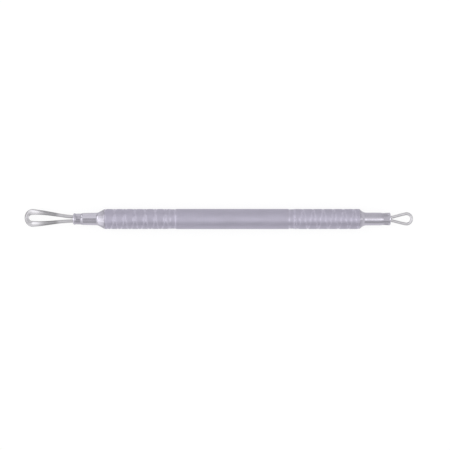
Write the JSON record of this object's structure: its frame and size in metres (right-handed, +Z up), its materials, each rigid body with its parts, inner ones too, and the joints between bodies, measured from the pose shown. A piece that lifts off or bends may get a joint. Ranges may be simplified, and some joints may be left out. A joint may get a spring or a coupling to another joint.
{
  "type": "blackhead extractor",
  "caption": "Slim round metal skin-care tool: bar handle with cross-grooved grips and a wire loop crimped into the tapered neck at each end, one long teardrop loop and one small loop.",
  "frame": {"origin": "on the bar's axis, midway between the bar's two end faces", "axes": "+X along the tool towards the small loop, which lies in the XY plane; the large loop at -X bends down from that plane by 11 degrees; +Z up from the surface that the tool lies on"},
  "size_m": [0.1223, 0.0064, 0.0064],
  "materials": {
    "satin_steel": "satin, faintly lilac grey",
    "polished_steel": "polished",
    "bright_wire": "bright drawn wire"
  },
  "bodies": {
    "root": {"handle_barrel": "satin_steel", "large_end_ferrule": "polished_steel", "small_end_ferrule": "polished_steel", "large_loop": "bright_wire", "small_loop": "bright_wire"}
  },
  "joints": []
}
